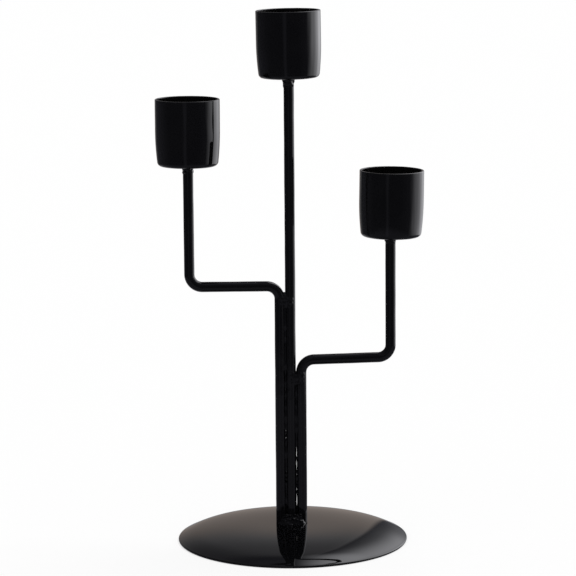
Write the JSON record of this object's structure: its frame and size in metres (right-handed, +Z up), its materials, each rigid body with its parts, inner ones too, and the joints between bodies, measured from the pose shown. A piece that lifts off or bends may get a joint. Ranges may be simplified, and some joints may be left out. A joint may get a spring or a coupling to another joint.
{
  "type": "three-arm candelabra",
  "caption": "Welded wire candelabra with open cylindrical candle cups at stepped heights on bent arms, over a domed round base, in gloss black enamel.",
  "frame": {"origin": "centre of the base on the surface it stands on", "axes": "+Z up; the arms lie in the XZ plane, the taller arm towards -X and the shorter arm towards +X"},
  "size_m": [0.1032, 0.09, 0.208],
  "materials": {
    "black_enamel": "gloss black enamel over steel"
  },
  "bodies": {
    "root": {"base_plate": "black_enamel", "centre_stem": "black_enamel", "left_arm": "black_enamel", "right_arm": "black_enamel", "top_cup": "black_enamel", "left_cup": "black_enamel", "right_cup": "black_enamel", "base_weld": "black_enamel", "left_arm_weld": "black_enamel", "right_arm_weld": "black_enamel", "top_cup_weld": "black_enamel", "left_cup_weld": "black_enamel", "right_cup_weld": "black_enamel"}
  },
  "joints": []
}
